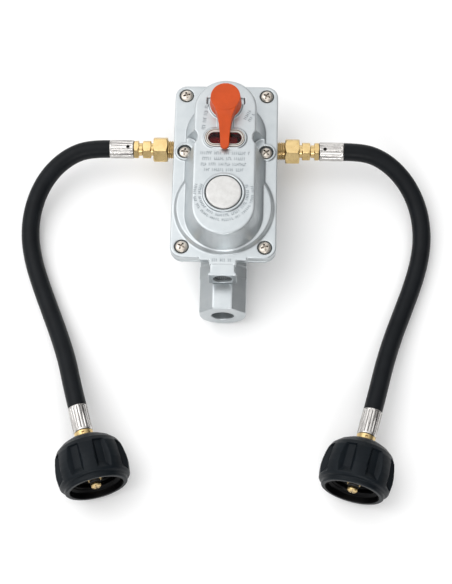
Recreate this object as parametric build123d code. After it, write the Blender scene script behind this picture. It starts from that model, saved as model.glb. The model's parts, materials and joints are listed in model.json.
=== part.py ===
from build123d import *
from math import cos, pi, radians, sin, tan
import os

# Automatic changeover regulator for two gas cylinders, lying on its back, with two short hoses.
# Origin: middle of the regulator's footprint on the surface. +Z is the front face's normal,
# -Y points along the outlet, and the left hose leaves towards -X. Millimetres.

# ---- driving dimensions: the regulator's body ----
flange_width = 78.0
flange_length = 140.0
flange_corner = 9.0
outlet_reach = 33.0
body_length = flange_length + outlet_reach
flange_low_y = body_length / 2 - flange_length
flange_high_y = body_length / 2
flange_mid_y = (flange_low_y + flange_high_y) / 2
outlet_end_y = -body_length / 2

body_flange_z = 42.5
body_top_z = 46.0
gasket_thickness = 0.8
bonnet_z = body_top_z + gasket_thickness
flange_top_z = 53.0
disc_top_z = 56.2
boss_top_z = 73.0
wall = 3.0
play = 0.3

screw_x = 30.5
screw_rows_y = (-45.2, 31.0, 78.2)
screw_head_radius = 4.7
screw_shank_radius = 2.0

# ---- second stage: pressure chamber, diaphragm, spring ----
second_y = -10.8
second_radius = 29.0
bowl_outer_radius = 33.0
bowl_floor_z = 5.0
disc_y = -14.6
disc_radius = 37.0
boss_base_radius = 30.0
boss_top_radius = 23.2
boss_low_y = -20.2
boss_high_y = 45.0
cap_radius = 12.9
adjuster_bore_radius = 12.0
lever_pin_y = 10.0
lever_pin_z = 20.0
valve_z = 26.0
orifice_seat_y = 17.5

# ---- first stage: one chamber for each cylinder ----
first_x = 12.0
first_y = 45.0
first_radius = 11.0
inlet_z = 27.0
inlet_port_radius = 6.9
port_face_x = 38.2

# ---- selector ----
selector_y = 60.4
hub_radius = 10.9
hub_top_z = 87.0
hub_low_z = 75.0
shaft_radius = 5.0
cam_radius = 16.6
cam_low_z = 59.8
seat_top_z = 58.2

# ---- window and indicator ----
window_y = 33.0
window_z = boss_top_z
bezel_width = 29.2
bezel_height = 13.9
lens_width = 25.9
lens_height = 11.2
drum_z = 62.0
drum_radius = 6.2

# ---- outlet and vent ----
outlet_z = 17.3
outlet_flats = 2 * outlet_z
outlet_bore_radius = 8.3
outlet_bore_length = 16.0
vent_z = 43.6
vent_radius = 6.9
vent_end_y = flange_low_y - 13.6

# ---- hoses and their fittings ----
hose_diameter = 13.8
hose_bore = 6.4
ferrule_radius = 7.2
hose_exit_x = 90.0
nipple_axis_pitch = 6.0
nut_length = 38.5
nut_rim_radius = 22.7
nut_lobe_radius = 26.4
nut_mouth_radius = 19.5
thread_major_radius = 16.9
thread_minor_radius = 15.9
thread_pitch = 4.23
nut_recesses = 8
nut_recess_phase = 21.0
tank_ferrule_low = -63.5
tank_ferrule_high = -43.3

# Each hose's route: straight out of its ferrule, down to the surface in one wide bend, along it,
# and up to the ferrule at the cylinder end. The last two points follow from that ferrule's axis.
hoses = {
    "left": {
        "side": -1,
        "mouth": (-85.7, -220.2, 28.0),
        "yaw": 16.6,
        "last_run": 18.5,
        "route": [
            (-90.0, 45.0, 27.0),
            (-104.5, 45.0, 27.0),
            (-119.0, 40.5, 25.2),
            (-132.3, 30.5, 22.2),
            (-142.5, 16.5, 17.7),
            (-148.7, -1.0, 13.0),
            (-150.0, -20.5, 9.5),
            (-146.2, -40.5, 7.7),
            (-138.8, -61.0, 7.4),
            (-130.3, -81.5, 8.4),
            (-121.8, -102.0, 11.2),
            (-114.3, -122.3, 15.4),
        ],
    },
    "right": {
        "side": 1,
        "mouth": (94.6, -219.8, 28.0),
        "yaw": -14.6,
        "last_run": 18.5,
        "route": [
            (90.0, 45.0, 27.0),
            (104.5, 45.0, 27.0),
            (118.5, 40.5, 25.2),
            (131.5, 30.8, 22.2),
            (142.0, 17.0, 17.9),
            (148.7, -0.3, 13.3),
            (150.6, -19.5, 9.6),
            (147.7, -39.2, 7.7),
            (141.6, -59.3, 7.4),
            (134.0, -79.7, 8.4),
            (126.5, -100.0, 11.2),
            (120.0, -121.2, 15.4),
        ],
    },
}

nodes = {}


# ---- helpers ----

def turned(corners):
    """A solid of revolution about local Z, from (radius, height) corners."""
    outline = Polyline(*[(radius, height) for radius, height in corners], close=True)
    return revolve(Plane.XZ * make_face(outline), Axis.Z)


def disc(radius, low, high, x=0.0, y=0.0):
    """A plain cylinder on a vertical axis, between two heights."""
    return Pos(x, y, low) * extrude(Circle(radius), high - low)


def ring(outer, inner, low, high, x=0.0, y=0.0):
    return disc(outer, low, high, x, y) - disc(inner, low - 1, high + 1, x, y)


def block(x_low, x_high, y_low, y_high, z_low, z_high):
    size = (x_high - x_low, y_high - y_low, z_high - z_low)
    centre = ((x_low + x_high) / 2, (y_low + y_high) / 2, (z_low + z_high) / 2)
    return Pos(*centre) * Box(*size)


def along_y(radius, y_from, y_to, x=0.0, z=0.0):
    """A cylinder parallel to Y."""
    return Pos(x, min(y_from, y_to), z) * Rot(-90, 0, 0) * extrude(Circle(radius), abs(y_to - y_from))


def along_x(radius, x_from, x_to, y=0.0, z=0.0):
    """A cylinder parallel to X."""
    return Pos(min(x_from, x_to), y, z) * Rot(0, 90, 0) * extrude(Circle(radius), abs(x_to - x_from))


def stadium(radius, y_low, y_high):
    """A slot-shaped sketch: two half circles joined by straight sides along Y."""
    middle = (y_low + y_high) / 2
    return Pos(0, middle) * SlotCenterToCenter(y_high - y_low, 2 * radius, rotation=90)


def obround(width, height, y):
    return Pos(0, y) * SlotOverall(width, height)


def flange_outline():
    return Pos(0, flange_mid_y) * RectangleRounded(flange_width, flange_length, flange_corner)


def screw_places():
    return [(side * screw_x, y) for y in screw_rows_y for side in (-1, 1)]


def coil(radius, wire, turns, low, high):
    """A compression spring on local Z between two heights."""
    height = high - low - wire
    path = Helix(pitch=height / turns, height=height, radius=radius)
    section = Plane(path @ 0, z_dir=path % 0) * Circle(wire / 2)
    return Pos(0, 0, low + wire / 2) * sweep(section, path)


def hexagon_bar(flats, low, high, bore=0.0):
    """A hexagonal collar on local Z, its outer corners turned off at both ends."""
    corner = flats / 2 / cos(pi / 6)
    chamfer_size = corner - flats / 2
    bar = Pos(0, 0, low) * extrude(RegularPolygon(flats / 2, 6, major_radius=False), high - low)
    rounded = turned([
        (0, low), (flats / 2, low), (corner, low + chamfer_size * 0.6),
        (corner, high - chamfer_size * 0.6), (flats / 2, high), (0, high),
    ])
    bar = bar & rounded
    if bore:
        bar = bar - disc(bore, low - 1, high + 1)
    return bar


def threaded_rod(major, minor, pitch, low, high, bore=0.0):
    """A rod with ring grooves at the thread's pitch."""
    corners = [(bore, low), (minor, low)]
    count = int((high - low) / pitch)
    for turn in range(count):
        start = low + turn * pitch
        corners.append((minor, start + 0.15 * pitch))
        corners.append((major, start + 0.45 * pitch))
        corners.append((major, start + 0.6 * pitch))
        corners.append((minor, start + 0.9 * pitch))
    corners.append((minor, high))
    corners.append((bore, high))
    return turned(corners)


# ---- housings ----

def outlet_section():
    """Outlet boss across its axis: an octagon above, a half round below."""
    octagon = Rot(0, 0, 22.5) * RegularPolygon(outlet_z, 8, major_radius=False)
    upper = octagon & Pos(0, outlet_z / 2) * Rectangle(4 * outlet_z, outlet_z)
    lower = Circle(outlet_z) & Pos(0, -outlet_z / 2) * Rectangle(4 * outlet_z, outlet_z)
    return upper + lower


def rear_body():
    body = Pos(0, 0, body_flange_z) * extrude(flange_outline(), body_top_z - body_flange_z)
    body = fillet(body.edges().filter_by(Plane.XY).group_by(Axis.Z)[0], 1.0)
    bowl = Pos(0, second_y, 0) * turned([
        (0, 0), (23.0, 0), (26.5, 2.0), (29.0, 8.0), (bowl_outer_radius, body_flange_z),
        (bowl_outer_radius, body_flange_z + 1), (0, body_flange_z + 1),
    ])
    block_y = (22.0, 74.0)
    upper_block = Pos(0, sum(block_y) / 2, 0) * extrude(
        RectangleRounded(58, block_y[1] - block_y[0], 8), body_flange_z + 1)
    upper_block = fillet(upper_block.edges().filter_by(Plane.XY).group_by(Axis.Z)[0], 2.0)
    outlet_length = second_y - 15 - outlet_end_y
    outlet = Pos(0, outlet_end_y, outlet_z) * Rot(90, 0, 0) * extrude(outlet_section(), -outlet_length)
    outlet = chamfer(outlet.edges().group_by(Axis.Y)[0], 0.7)
    neck_band = Pos(0, flange_low_y - 6, outlet_z) * Rot(90, 0, 0) * extrude(
        offset(outlet_section(), 0.35, kind=Kind.INTERSECTION), -9)
    neck_band = neck_band & block(-30, 30, flange_low_y - 10, flange_low_y + 10, 0, 60)
    bridge = block(-10, 10, 12, 24, 6, body_flange_z)
    body = body + bowl + upper_block + bridge + outlet + neck_band
    for x, y in screw_places():
        body += disc(5.0, body_flange_z - 8.5, body_flange_z + 1, x, y)
    for side in (-1, 1):
        body += along_x(11.0, side * 27, side * port_face_x, first_y, inlet_z)
        rib = block(-1.5, 1.5, 24, 60, 8, body_flange_z)
        body += Pos(side * 30.5, 0, 0) * (rib & block(-2, 2, 24, 60, 12, body_flange_z))

    chamber = Pos(0, second_y, 0) * turned([
        (0, bowl_floor_z), (22.0, bowl_floor_z), (25.5, 9.0),
        (second_radius, 34.0), (second_radius, body_top_z + 1), (0, body_top_z + 1),
    ])
    body -= chamber
    body -= along_y(outlet_bore_radius, outlet_end_y - 1, outlet_end_y + outlet_bore_length, 0, outlet_z)
    body -= along_y(6.0, outlet_end_y + outlet_bore_length - 1, second_y - 15, 0, outlet_z)
    for side in (-1, 1):
        x = side * first_x
        body -= along_x(inlet_port_radius, side * 21, side * (port_face_x + 1), first_y, inlet_z)
        body -= along_x(3.0, x, side * 22, first_y, inlet_z)
        body -= disc(5.0, 14.0, 33.0, x, first_y)
        body -= disc(3.5, 32.0, 38.0, x, first_y)
        body -= disc(first_radius, 37.0, body_top_z + 1, x, first_y)
        body -= along_y(2.5, 25.0, first_y, x, 40.5)
    body -= along_x(2.5, -first_x, first_x, 25.0, 40.5)
    body -= disc(2.5, 26.0, 40.5, 0, 25.0)
    body -= along_y(3.0, second_y, 26.5, 0, valve_z)
    body -= along_y(4.7, second_y, orifice_seat_y, 0, valve_z)
    body -= block(-14, 14, 60, 70, -1, 38)
    body -= block(-4.5, 4.5, 31, 56, -1, 34)
    for side in (-1, 1):
        body -= Pos(side * 14.5, 47, 0) * Box(16, 16, 19)
    for x, y in screw_places():
        body -= disc(screw_shank_radius + 0.05, body_flange_z - 6.5, body_top_z + 1, x, y)
    for x in (-20, 20):
        for y in (30, 66):
            body -= disc(2.1, -1, 8.0, x, y)
    posts = block(-8.5, -6.0, -3.5, 3.5, bowl_floor_z - 1, 23.5) + block(6.0, 8.5, -3.5, 3.5, bowl_floor_z - 1, 23.5)
    posts -= along_x(1.25, -10, 10, 0, lever_pin_z)
    return body + Pos(0, lever_pin_y, 0) * posts


def bonnet():
    body = Pos(0, 0, bonnet_z) * extrude(flange_outline(), flange_top_z - bonnet_z)
    body = fillet(body.edges().filter_by(Plane.XY).group_by(Axis.Z)[-1], 0.8)
    pad = block(-17.4, 17.4, flange_low_y - 1.8, flange_low_y + 6, bonnet_z, flange_top_z)
    tab = block(-9.8, 9.8, flange_low_y - 4.9, flange_low_y + 6, bonnet_z, flange_top_z)
    vent_boss = block(-9.0, 9.0, vent_end_y + 2.0, flange_low_y - play, outlet_flats + 0.6, flange_top_z - 0.6)
    vent_lip = block(-10.4, 10.4, vent_end_y, vent_end_y + 2.4, outlet_flats + 0.6, flange_top_z - 0.6)
    body = body + pad + tab + vent_boss + vent_lip

    low_disc = Pos(0, disc_y, flange_top_z - 0.5) * turned([
        (0, 0), (disc_radius, 0), (disc_radius, 0.7), (disc_radius - 2.0, disc_top_z - flange_top_z + 0.5),
        (0, disc_top_z - flange_top_z + 0.5),
    ])
    rise = boss_top_z - flange_top_z
    draft = 20.8
    skirt = Pos(0, 0, flange_top_z) * extrude(
        stadium(boss_base_radius, boss_low_y, boss_high_y), rise, taper=draft)
    skirt = fillet(skirt.edges().group_by(Axis.Z)[-1], 1.2)
    tower = Pos(0, 0, flange_top_z - 0.5) * extrude(
        stadium(boss_top_radius, boss_low_y, 58.0), rise + 0.5)
    tower = fillet(tower.edges().group_by(Axis.Z)[-1], 1.6)
    body = body + low_disc + skirt + tower

    scallop_radius = 7.2
    for side in (-1, 1):
        body -= disc(scallop_radius, flange_top_z + 1.4, boss_top_z + 5, side * 27.6, 34.6)
        body -= disc(6.6, flange_top_z + 1.4, boss_top_z + 5, side * screw_x, screw_rows_y[1])
        body += ring(7.0, 5.4, flange_top_z - 0.5, flange_top_z + 1.4, side * screw_x, screw_rows_y[1])
    body += ring(15.4, 13.6, boss_top_z - 0.5, boss_top_z + 1.5, 0, second_y)
    body += disc(12.4, boss_top_z - 0.5, boss_top_z + 1.6, 0, selector_y)
    body += block(-5.8, 5.8, window_y + 6, selector_y - 8, boss_top_z - 0.5, boss_top_z + 1.0)
    rim = Pos(0, 0, boss_top_z - 0.5) * extrude(obround(bezel_width + 3.0, bezel_height + 2.4, window_y), 1.6)
    body += rim

    inner_rise = boss_top_z - wall - bonnet_z
    cavity = Pos(0, 0, bonnet_z - 1) * extrude(stadium(25.6, boss_low_y, boss_high_y - 2), 1)
    cavity += Pos(0, 0, bonnet_z) * extrude(stadium(25.6, boss_low_y, boss_high_y - 2), inner_rise, taper=13.5)
    cavity += Pos(0, 0, bonnet_z - 1) * extrude(stadium(19.8, boss_low_y, 58.0), inner_rise + 1)
    cavity -= block(-40, 40, 19.0, 22.0, bonnet_z - 2, boss_top_z)
    cavity += disc(second_radius, bonnet_z - 1, bonnet_z + 3.4, 0, second_y)
    cavity -= ring(15.0, adjuster_bore_radius, 58.0, boss_top_z, 0, second_y)
    for side in (-1, 1):
        cavity -= disc(10.4, bonnet_z - 2, boss_top_z + 1, side * 29.0, 33.4)
        cavity -= disc(6.5, bonnet_z - 2, boss_top_z + 1, side * screw_x, screw_rows_y[1])
    body -= cavity
    body -= disc(adjuster_bore_radius, 57.0, boss_top_z + 5, 0, second_y)
    body -= disc(13.1, boss_top_z + 0.2, boss_top_z + 5, 0, second_y)
    body -= disc(shaft_radius + 0.05, 60.0, boss_top_z + 5, 0, selector_y)
    notch = block(-14.0, 14.0, 61.0, 66.4, boss_top_z - 2.2, boss_top_z + 5)
    body -= notch - disc(10.4, boss_top_z - 5, boss_top_z + 5, 0, selector_y)
    body -= Pos(0, 0, window_z - 6) * extrude(obround(lens_width - 2.0, lens_height - 2.0, window_y), 12)
    body -= Pos(0, 0, window_z - 1.6) * extrude(obround(bezel_width + 0.2, bezel_height + 0.2, window_y), 12)
    for x in (-15.4, 12.9):
        lug = block(x, x + 2.5, window_y - 2.6, window_y + 2.6, drum_z - 3.5, boss_top_z - wall + 0.5)
        body += lug - along_x(1.25, x - 1, x + 4, window_y, drum_z)

    vent_centre = (0, vent_z)
    body -= along_y(vent_radius, vent_end_y - 1, flange_low_y - 6.5, *vent_centre)
    body -= block(-5, 5, flange_low_y - 8.0, second_y - second_radius + 4, 47.8, 50.0)
    for x, y in screw_places():
        body -= disc(screw_shank_radius + 0.3, bonnet_z - 1, flange_top_z + 3, x, y)
        body -= disc(5.4, flange_top_z - 1.2, flange_top_z + 2, x, y)
    return body


def gasket():
    outline = offset(flange_outline(), -0.6)
    sheet = Pos(0, 0, body_top_z) * extrude(outline, gasket_thickness)
    sheet -= disc(second_radius, 40, 50, 0, second_y)
    for side in (-1, 1):
        sheet -= disc(first_radius, 40, 50, side * first_x, first_y)
    for x, y in screw_places():
        sheet -= disc(screw_shank_radius + 0.3, 40, 50, x, y)
    return sheet


def cover_screw(x, y):
    """Cross-recess pan-head screw, its head seated in the bonnet's counterbore."""
    seat = flange_top_z - 1.2
    screw = Pos(x, y, 0) * turned([
        (0, body_flange_z - 6.0), (screw_shank_radius - 0.6, body_flange_z - 6.0),
        (screw_shank_radius, body_flange_z - 5.2), (screw_shank_radius, seat),
        (screw_head_radius, seat), (screw_head_radius, seat + 1.0),
        (screw_head_radius - 0.8, seat + 1.75), (screw_head_radius - 2.4, seat + 2.2), (0, seat + 2.3),
    ])
    angle = 17 * x + 31 * y
    slot = block(-2.5, 2.5, -0.5, 0.5, -0.7, 1.0)
    recess = slot + Rot(0, 0, 90) * slot + Pos(0, 0, -0.6) * Cone(0.4, 1.3, 1.8)
    return screw - Pos(x, y, seat + 2.0) * Rot(0, 0, angle) * recess


nodes["rear_body"] = rear_body()
nodes["front_bonnet"] = bonnet()
nodes["body_gasket"] = gasket()
nodes["cover_screws"] = Compound([cover_screw(x, y) for x, y in screw_places()])


# ---- second stage ----

def second_stage():
    centre = Pos(0, second_y, 0)
    nodes["adjuster_cap"] = centre * turned([
        (0, boss_top_z + 0.2), (adjuster_bore_radius - 2.0, boss_top_z + 0.2),
        (adjuster_bore_radius - 2.0, boss_top_z - 2.4), (adjuster_bore_radius - 0.1, boss_top_z - 2.4),
        (adjuster_bore_radius - 0.1, boss_top_z + 0.2), (cap_radius, boss_top_z + 0.2),
        (cap_radius, boss_top_z + 1.6), (cap_radius - 0.6, boss_top_z + 2.0), (0, boss_top_z + 2.0),
    ])
    screw = centre * turned([
        (0, 65.0), (6.0, 65.0), (6.0, 66.5), (adjuster_bore_radius - 0.6, 66.5),
        (adjuster_bore_radius - 0.1, 67.0), (adjuster_bore_radius - 0.1, 69.5),
        (adjuster_bore_radius - 0.6, 70.2), (0, 70.2),
    ])
    nodes["adjuster_screw"] = screw - centre * block(-8, 8, -1.2, 1.2, 68.4, 72)
    spring_low = bonnet_z + 1.4
    nodes["second_stage_spring"] = centre * coil(8.0, 1.8, 5, spring_low, 66.5)
    nodes["second_stage_diaphragm"] = centre * turned([
        (3.1, body_top_z), (20.0, body_top_z), (21.0, body_top_z - 1.8), (24.5, body_top_z - 1.8),
        (25.5, body_top_z), (second_radius, body_top_z), (second_radius, bonnet_z),
        (24.8, bonnet_z), (23.8, body_top_z - 1.0), (21.7, body_top_z - 1.0),
        (20.7, bonnet_z), (3.1, bonnet_z),
    ])
    nodes["diaphragm_plate"] = centre * turned([
        (3.1, bonnet_z), (19.5, bonnet_z), (19.5, bonnet_z + 2.2), (18.3, bonnet_z + 2.2),
        (18.3, bonnet_z + 1.2), (12.0, bonnet_z + 1.2), (12.0, bonnet_z + 1.4), (3.1, bonnet_z + 1.4),
    ])
    nodes["diaphragm_stem"] = centre * turned([
        (0, 25.6), (3.2, 25.6), (3.2, 26.8), (1.5, 26.8), (1.5, 33.6), (3.2, 33.6), (3.2, 34.6),
        (2.4, 34.6), (2.4, 44.6), (6.0, 44.6), (6.0, body_top_z), (3.0, body_top_z),
        (3.0, bonnet_z + 1.4), (4.4, bonnet_z + 1.4), (4.4, bonnet_z + 3.6), (0, bonnet_z + 3.6),
    ])
    pin_place = Pos(0, lever_pin_y, lever_pin_z)
    nodes["lever_pin"] = along_x(1.2, -8.8, 8.8, lever_pin_y, lever_pin_z)
    knuckle = along_x(2.6, -5.6, 5.6, 0, 0) - along_x(1.25, -7, 7, 0, 0)
    arm_tip_y = second_y - lever_pin_y
    foot = block(-2.2, 2.2, -1.2, 1.2, 1.8, 7.2)
    web = Plane.YZ * make_face(Polyline((0, 2.2), (-1.6, -1.2), (-15.8, 9.2), (-15.8, 11.4), close=True))
    arm = extrude(web, 4.0, both=True)
    prongs = block(-4.2, 4.2, arm_tip_y - 3.0, -15.0, 9.2, 11.4)
    prongs -= block(-1.9, 1.9, arm_tip_y - 4.0, arm_tip_y + 2.4, 8, 13)
    lever = (knuckle + foot + arm + prongs) - along_x(1.25, -7, 7, 0, 0)
    nodes["second_stage_lever"] = pin_place * lever
    nodes["second_stage_orifice"] = Pos(0, 0, valve_z) * (
        along_y(2.95, 16.0, 24.5) + along_y(4.6, 14.6, orifice_seat_y) + along_y(2.6, 13.6, 15.0)
        - along_y(1.2, 13.0, 25.0))
    nodes["second_stage_valve"] = Pos(0, 0, valve_z) * (along_y(3.6, 11.6, 12.8) + along_y(2.8, 12.8, 13.0))


second_stage()


# ---- first stage, one set for each side ----

def first_stage(name, side):
    centre = Pos(side * first_x, first_y, 0)
    plate_z = bonnet_z
    nodes[f"first_stage_diaphragm_{name}"] = centre * turned([
        (1.9, body_top_z), (6.6, body_top_z), (7.2, body_top_z - 1.4), (8.8, body_top_z - 1.4),
        (9.4, body_top_z), (first_radius, body_top_z), (first_radius, bonnet_z),
        (8.9, bonnet_z), (8.3, body_top_z - 0.7), (7.7, body_top_z - 0.7),
        (7.1, bonnet_z), (1.9, bonnet_z),
    ])
    nodes[f"first_stage_stem_{name}"] = centre * turned([
        (0, 25.0), (2.2, 25.0), (3.4, 26.4), (3.4, 28.6), (1.1, 28.6), (1.1, 43.0), (3.4, 43.0),
        (3.4, body_top_z), (1.7, body_top_z), (1.7, plate_z), (6.4, plate_z), (6.4, plate_z + 1.2),
        (2.2, plate_z + 1.2), (2.2, plate_z + 2.4), (0, plate_z + 2.4),
    ])
    nodes[f"first_stage_orifice_{name}"] = centre * turned([
        (1.6, 30.0), (4.9, 30.0), (4.9, 33.0), (3.4, 33.0), (3.4, 35.0), (1.6, 35.0),
    ])
    nodes[f"first_stage_spring_{name}"] = centre * coil(4.2, 1.2, 4, plate_z + 1.2, seat_top_z - 2.0)
    nodes[f"spring_seat_{name}"] = centre * turned([
        (0, seat_top_z - 4.5), (2.6, seat_top_z - 4.5), (2.6, seat_top_z - 2.0), (5.4, seat_top_z - 2.0),
        (5.4, seat_top_z - 0.6), (3.0, seat_top_z), (0, seat_top_z),
    ])


for name, side in (("left", -1), ("right", 1)):
    first_stage(name, side)


def spring_guide():
    """Plate over both small diaphragms that clamps their rims and guides the springs."""
    plate = Pos(0, 0, bonnet_z) * extrude(
        Pos(0, first_y) * RectangleRounded(2 * (first_x + first_radius) - 1, 22.0, 6), 2.2)
    for side in (-1, 1):
        x = side * first_x
        plate -= disc(9.2, bonnet_z - 1, bonnet_z + 3, x, first_y)
        plate -= disc(10.7, bonnet_z - 1, bonnet_z + 3, side * 29.0, 33.4)
    return plate & extrude(stadium(24.0, boss_low_y, boss_high_y - 3), 80)


nodes["spring_guide"] = spring_guide()


# ---- selector ----

def selector():
    centre = Pos(0, selector_y, 0)
    hub = Pos(0, 0, hub_low_z) * extrude(Circle(hub_radius + 0.9), hub_top_z - hub_low_z, taper=4.3)
    tip_y = -37.6
    edge = [(9.4, -5.0), (7.4, -9.2), (5.9, -13.0), (4.8, -17.5), (3.9, -24.0), (3.4, -30.0), (3.3, tip_y + 3.3),
            (2.9, tip_y + 1.7), (1.7, tip_y + 0.4)]
    left_edge = [(-x, y) for x, y in edge]
    arm_outline = make_face(Polyline(*left_edge, (0, tip_y), *reversed(edge), close=True))
    arm = Pos(0, 0, hub_low_z) * extrude(arm_outline, hub_top_z - hub_low_z)
    side_profile = Plane.YZ * make_face(Polyline(
        (4.0, hub_low_z + 0.6), (-25.0, hub_low_z + 0.6), (tip_y - 1, hub_low_z - 0.2), (tip_y - 1, hub_low_z + 2.6),
        (-30.0, hub_low_z + 4.4), (-14.0, hub_top_z - 1.2), (-7.0, hub_top_z), (4.0, hub_top_z), close=True))
    arm = arm & extrude(side_profile, 20, both=True)
    handle = hub + arm
    handle -= disc(shaft_radius, 70, hub_low_z + 6.5)
    handle = handle - disc(hub_radius - 2.6, 70, hub_low_z + 4.0) + ring(
        shaft_radius + 2.2, shaft_radius, hub_low_z, hub_low_z + 4.5)
    nodes["selector_lever"] = centre * handle
    nodes["selector_shaft"] = centre * turned([
        (0, cam_low_z), (cam_radius, cam_low_z), (cam_radius, cam_low_z + 3.2),
        (shaft_radius + 2.4, cam_low_z + 3.2), (shaft_radius + 2.4, cam_low_z + 5.4),
        (shaft_radius, cam_low_z + 5.4), (shaft_radius, 71.4), (shaft_radius - 1.0, 71.6),
        (shaft_radius - 1.0, 73.4), (shaft_radius, 73.6), (shaft_radius, hub_low_z + 6.4), (0, hub_low_z + 6.4),
    ])
    nodes["selector_seal"] = centre * (Pos(0, 0, 72.5) * Torus(shaft_radius - 0.5, 0.48))


selector()


# ---- window and indicator ----

def window():
    base = window_z - 1.6
    outer = Pos(0, 0, base) * extrude(obround(bezel_width, bezel_height, window_y), 3.1)
    outer = fillet(outer.edges().filter_by(Plane.XY).group_by(Axis.Z)[-1], 0.5)
    inner = Pos(0, 0, base - 1) * extrude(obround(lens_width - 1.4, lens_height - 1.4, window_y), 8)
    groove = Pos(0, 0, base + 2.8) * (
        extrude(obround(bezel_width - 1.2, bezel_height - 1.2, window_y), 1)
        - extrude(obround(bezel_width - 1.9, bezel_height - 1.9, window_y), 1))
    lens_seat = Pos(0, 0, base + 0.7) * extrude(obround(lens_width, lens_height, window_y), 1.2)
    nodes["window_bezel"] = outer - inner - groove - lens_seat
    nodes["window_lens"] = lens_seat
    drum = along_x(drum_radius, -11.4, 9.0, window_y, drum_z) + along_x(2.5, 9.0, 12.2, window_y, drum_z)
    nodes["indicator_drum"] = drum - along_x(1.25, -20, 20, window_y, drum_z)
    nodes["indicator_pin"] = along_x(1.2, -15.6, 15.6, window_y, drum_z)
    rack = block(9.6, 11.8, window_y - 5.4, window_y - 2.8, bonnet_z + 1.6, 64.0)
    nodes["indicator_plunger"] = rack + disc(3.6, bonnet_z + 1.0, bonnet_z + 2.6, 9.4, window_y - 5.8)


window()


def vent_screen():
    """Woven insect screen pressed into the vent, as two layers of crossed bars in a ring."""
    radius = vent_radius - 0.05
    rim = along_y(radius, 0, 0.8) - along_y(radius - 0.9, -1, 2)
    bars = None
    spacing = 1.5
    for step in range(-4, 5):
        upright = Pos(step * spacing, 0.4, 0) * Box(0.35, 0.4, 2 * radius)
        bars = upright if bars is None else bars + upright
        bars += Pos(0, 0.4, step * spacing) * Box(2 * radius, 0.4, 0.35)
    mesh = bars & along_y(radius - 0.45, 0, 0.8)
    return Pos(0, vent_end_y + 2.0, vent_z) * (rim + mesh)


nodes["vent_screen"] = vent_screen()


# ---- hoses and fittings ----

def regulator_end(name, side):
    """Fittings from the inlet port outwards. Local +Z points away from the regulator."""
    place = Pos(0, first_y, inlet_z) * Rot(0, side * 90, 0)
    adapter = threaded_rod(6.75, 6.0, 1.41, 27.0, 45.2, 3.2)
    adapter += hexagon_bar(18.0, 45.1, 56.0, 3.2)
    adapter -= disc(5.0, 48.0, 57.0)
    nodes[f"inlet_adapter_{name}"] = place * adapter
    nut = hexagon_bar(13.0, 58.0, 64.2, 4.0) + ring(4.9, 4.0, 50.4, 58.4)
    nodes[f"flare_nut_{name}"] = place * nut
    stem = ring(3.9, 2.2, 49.2, 64.8) + ring(4.9, 2.2, 64.6, 67.6)
    stem += hexagon_bar(13.0, 67.4, 71.0, 2.2) + ring(3.6, 2.2, 70.5, hose_exit_x - 0.5)
    nodes[f"hose_stem_{name}"] = place * stem
    nodes[f"regulator_ferrule_{name}"] = place * ferrule(71.2, hose_exit_x, 3.6)


def ferrule(low, high, bore):
    """Crimped sleeve: shallow flutes left by the crimping jaws, and a turned-in lip at each end."""
    length = high - low
    sleeve = turned([
        (bore, low), (ferrule_radius - 0.5, low), (ferrule_radius, low + 0.5),
        (ferrule_radius, high - 0.6), (ferrule_radius - 0.6, high), (bore, high),
    ])
    flutes = 8
    for flute in range(flutes):
        groove = Pos(ferrule_radius + 0.55, 0, low + 1.2) * extrude(Circle(0.9), length - 2.4)
        sleeve -= Rot(0, 0, 360 / flutes * flute + 11) * groove
    return sleeve


def mouth_frame(hose):
    """Local frame of a cylinder-end fitting: origin in the nut's mouth, +Z out of the mouth."""
    yaw = radians(hose["yaw"])
    pitch = radians(nipple_axis_pitch)
    outwards = Vector(sin(yaw) * cos(pitch), -cos(yaw) * cos(pitch), sin(pitch))
    across = Vector(cos(yaw), sin(yaw), 0)
    return Plane(origin=hose["mouth"], x_dir=across, z_dir=outwards)


def handwheel():
    """Hand-tightened coupling nut with eight grip recesses and a coarse internal thread."""
    corners = [(nut_mouth_radius, 0), (nut_mouth_radius - 0.5, -4.6), (thread_major_radius, -5.6)]
    depth = -6.6
    while depth - thread_pitch > -23.0:
        corners.append((thread_major_radius, depth))
        corners.append((thread_minor_radius, depth - 0.22 * thread_pitch))
        corners.append((thread_minor_radius, depth - 0.55 * thread_pitch))
        corners.append((thread_major_radius, depth - 0.77 * thread_pitch))
        depth -= thread_pitch
    corners += [
        (thread_major_radius, -24.0), (15.0, -25.0), (15.0, -31.5), (7.4, -31.5), (7.4, -nut_length),
        (9.0, -nut_length), (13.6, -nut_length + 1.4), (18.2, -nut_length + 4.0), (22.4, -nut_length + 7.8),
        (24.4, -nut_length + 11.8), (25.3, -nut_length + 15.8), (nut_lobe_radius - 0.2, -18.0),
        (nut_lobe_radius, -13.5), (nut_lobe_radius - 0.3, -9.0), (25.2, -5.2), (24.2, -4.2),
        (nut_rim_radius + 0.3, -3.6), (nut_rim_radius, -2.8), (nut_rim_radius, -0.8), (nut_rim_radius - 0.9, 0),
    ]
    nut = turned(corners)
    floor_radius = nut_lobe_radius - 2.7
    panel = Plane(origin=(floor_radius, 0, -16.8), x_dir=(0, 1, 0), z_dir=(1, 0, 0))
    recess = extrude(panel * RectangleRounded(5.6, 18.0, 0.5), 6.0, taper=-40)
    for index in range(nut_recesses):
        nut -= Rot(0, 0, 360 / nut_recesses * index + nut_recess_phase) * recess
    return nut


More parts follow.
